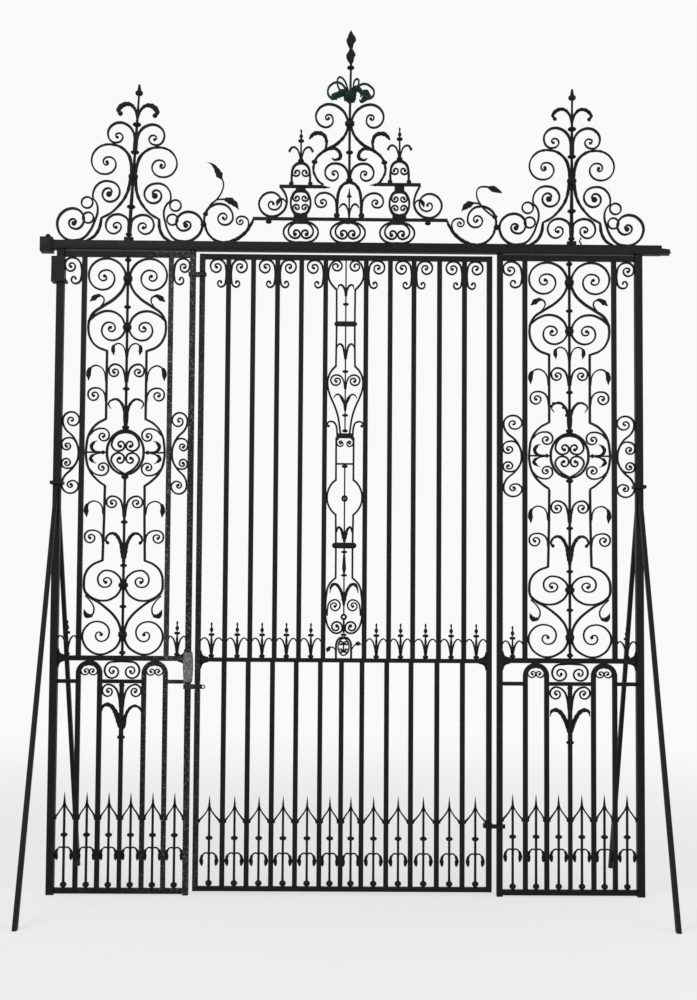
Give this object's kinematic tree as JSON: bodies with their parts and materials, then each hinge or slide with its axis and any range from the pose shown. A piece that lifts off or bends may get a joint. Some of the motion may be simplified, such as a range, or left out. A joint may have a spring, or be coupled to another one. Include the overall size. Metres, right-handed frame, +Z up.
{
  "type": "wrought iron gate",
  "caption": "Black wrought iron gate with one swinging leaf between openwork side panels, scrolled cresting above a lintel and raking back-stays.",
  "frame": {"origin": "centre of the flat foot of the post that carries the leaf", "axes": "+Z up; X runs along the gate, from the hanging post across the closed leaf; the front faces -Y and the leaf opens towards +Y"},
  "size_m": [3.057, 1.408, 4.183],
  "materials": {
    "black_iron": "satin black paint over hammered wrought iron",
    "worn_iron": "black paint rubbed grey over hammered wrought iron",
    "dark_green_iron": "very dark green-black paint over sheet iron leaves"
  },
  "bodies": {
    "frame": {"hanging_post": "worn_iron", "striking_post": "black_iron", "left_outer_post": "black_iron", "right_outer_post": "black_iron", "lintel_beam": "black_iron", "left_panel_lattice": "worn_iron", "left_panel_scrollwork": "black_iron", "left_strip_scrolls": "black_iron", "left_strip_finials": "black_iron", "left_lower_scrolls": "black_iron", "left_dog_bars": "black_iron", "right_panel_lattice": "black_iron", "right_panel_scrollwork": "black_iron", "right_strip_scrolls": "black_iron", "right_strip_finials": "black_iron", "right_lower_scrolls": "black_iron", "right_dog_bars": "black_iron", "left_pyramid": "black_iron", "right_pyramid": "black_iron", "left_tendril": "black_iron", "right_tendril": "black_iron", "raised_rail": "black_iron", "left_turret": "black_iron", "right_turret": "black_iron", "centre_pediment": "black_iron", "left_outer_curl": "black_iron", "right_outer_curl": "black_iron", "crown_cluster": "dark_green_iron", "flame_finial": "black_iron", "left_front_stay": "black_iron", "left_back_stay": "black_iron", "left_stay_collar": "black_iron", "right_front_stay": "black_iron", "right_back_stay": "black_iron", "right_stay_collar": "black_iron", "top_hinge_collar": "worn_iron", "middle_hinge_collar": "worn_iron"},
    "leaf": {"hanging_stile": "worn_iron", "striking_stile": "black_iron", "leaf_lattice": "black_iron", "leaf_top_scrolls": "black_iron", "leaf_centre_ornament": "black_iron", "leaf_rail_finials": "black_iron", "leaf_dog_bars": "black_iron", "locking_loop": "black_iron"}
  },
  "joints": [
    {"name": "leaf_swing", "type": "hinge", "parent": "frame", "child": "leaf", "pos_m": [0.046, 0, 0], "axis": [0, 0, 1], "range_deg": [0, 100]}
  ]
}
